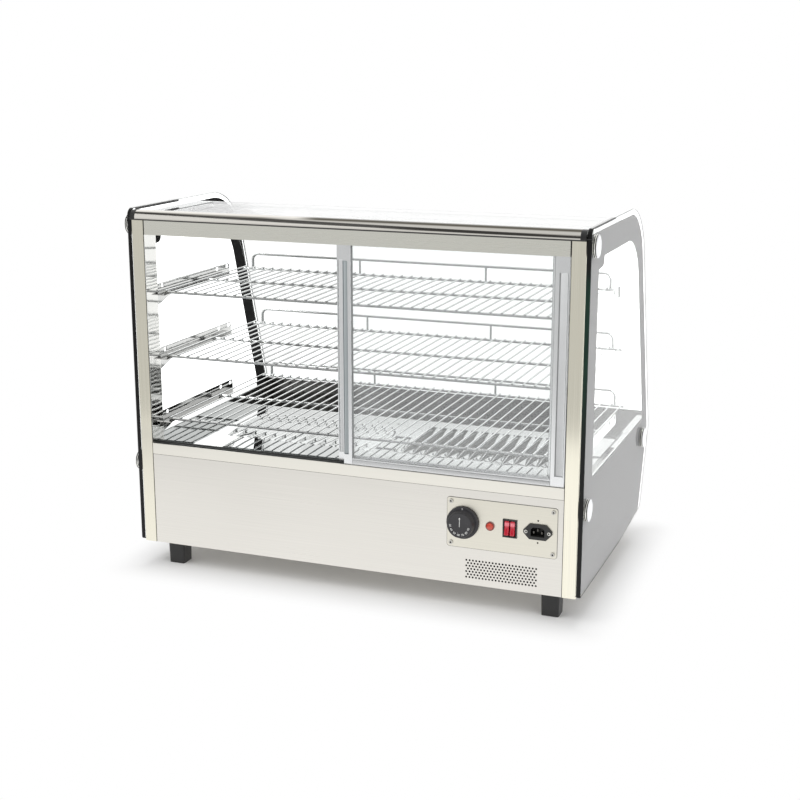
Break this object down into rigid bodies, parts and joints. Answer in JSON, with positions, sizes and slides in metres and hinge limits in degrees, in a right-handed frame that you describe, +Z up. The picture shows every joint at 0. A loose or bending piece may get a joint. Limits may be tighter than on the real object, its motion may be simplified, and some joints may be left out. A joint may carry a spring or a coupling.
{
  "type": "heated display case",
  "caption": "Counter-top heated display case: steel base with controls, glass sides, bent glass front, wire shelves over a louvred deck and sliding rear glass doors.",
  "frame": {"origin": "on the floor, in the middle of the whole box", "axes": "+X to the operator's right, +Y towards the customer, +Z up"},
  "size_m": [0.859, 0.56, 0.67],
  "materials": {
    "satin_steel": "fine satin stainless sheet",
    "bracket_steel": "bright stainless sheet",
    "mirror_steel": "polished stainless sheet",
    "polished_rail": "polished stainless section",
    "black_plastic": "black moulded plastic",
    "foot_plastic": "black moulded foot",
    "door_aluminium": "pale anodised aluminium",
    "side_glass": "clear float glass, ground edges",
    "bent_glass": "clear bent glass",
    "door_glass": "clear glass",
    "border_print": "black fired print on the glass",
    "chrome": "bright chrome",
    "shelf_wire": "chromed wire",
    "screw_steel": "plated screws",
    "red_plastic": "red translucent rocker",
    "lamp_lens": "red lens",
    "pin_brass": "plated contact pins",
    "nylon": "white nylon",
    "heater_sheath": "tempered tubular sheath",
    "stand_steel": "plain sheet",
    "thermostat_case": "plated case",
    "spindle_steel": "turned steel",
    "probe_copper": "copper capillary",
    "lamp_tube": "white coated tube",
    "white_plastic": "white plastic"
  },
  "bodies": {
    "case": {"base_pan": "satin_steel", "base_side_left": "satin_steel", "base_side_right": "satin_steel", "bent_glass": "bent_glass", "bracket_lower_left": "bracket_steel", "bracket_lower_right": "bracket_steel", "bracket_middle_left": "bracket_steel", "bracket_middle_right": "bracket_steel", "bracket_upper_left": "bracket_steel", "bracket_upper_right": "bracket_steel", "control_plate": "satin_steel", "control_screws": "screw_steel", "deck": "mirror_steel", "deck_wall_left": "mirror_steel", "deck_wall_right": "mirror_steel", "door_track": "door_aluminium", "foot_front_left": "foot_plastic", "foot_front_right": "foot_plastic", "foot_rear_left": "foot_plastic", "foot_rear_right": "foot_plastic", "front_print": "border_print", "glass_knobs": "chrome", "header": "satin_steel", "heater_left": "heater_sheath", "heater_right": "heater_sheath", "heater_stands": "stand_steel", "inlet_pins": "pin_brass", "inlet_screws": "screw_steel", "lamp_holders": "white_plastic", "lamp_tube": "lamp_tube", "mains_inlet": "black_plastic", "pilot_lamp": "lamp_lens", "post_left": "satin_steel", "post_right": "satin_steel", "rail_cap_left": "black_plastic", "rail_cap_right": "black_plastic", "rear_panel": "satin_steel", "rocker_frame": "black_plastic", "shelf_lower": "shelf_wire", "shelf_middle": "shelf_wire", "shelf_upper": "shelf_wire", "side_glass_left": "side_glass", "side_glass_right": "side_glass", "side_print_left": "border_print", "side_print_right": "border_print", "sill": "door_aluminium", "terminal_block": "white_plastic", "thermostat_body": "thermostat_case", "thermostat_probe": "probe_copper", "top_rail": "polished_rail"},
    "left_door": {"left_door_frame": "door_aluminium", "left_door_glass": "door_glass", "left_door_glides": "nylon"},
    "right_door": {"right_door_frame": "door_aluminium", "right_door_glass": "door_glass", "right_door_glides": "nylon"},
    "thermostat_dial": {"thermostat_knob": "black_plastic", "thermostat_spindle": "spindle_steel"},
    "heat_switch": {"heat_rocker": "red_plastic"},
    "light_switch": {"light_rocker": "red_plastic"}
  },
  "joints": [
    {"name": "left_door_slide", "type": "slide", "parent": "case", "child": "left_door", "axis": [1, 0, 0], "range_m": [-0.365, 0.015]},
    {"name": "right_door_slide", "type": "slide", "parent": "case", "child": "right_door", "axis": [1, 0, 0], "range_m": [-0.38, 0]},
    {"name": "thermostat_turn", "type": "hinge", "parent": "case", "child": "thermostat_dial", "pos_m": [0.214, -0.26, 0.16], "axis": [0, 1, 0], "range_deg": [0, 300]},
    {"name": "heat_rocker_tilt", "type": "hinge", "parent": "case", "child": "heat_switch", "pos_m": [0.2975, -0.257, 0.159], "axis": [1, 0, 0], "range_deg": [0, 18]},
    {"name": "light_rocker_tilt", "type": "hinge", "parent": "case", "child": "light_switch", "pos_m": [0.2975, -0.257, 0.159], "axis": [1, 0, 0], "range_deg": [0, 18]}
  ]
}
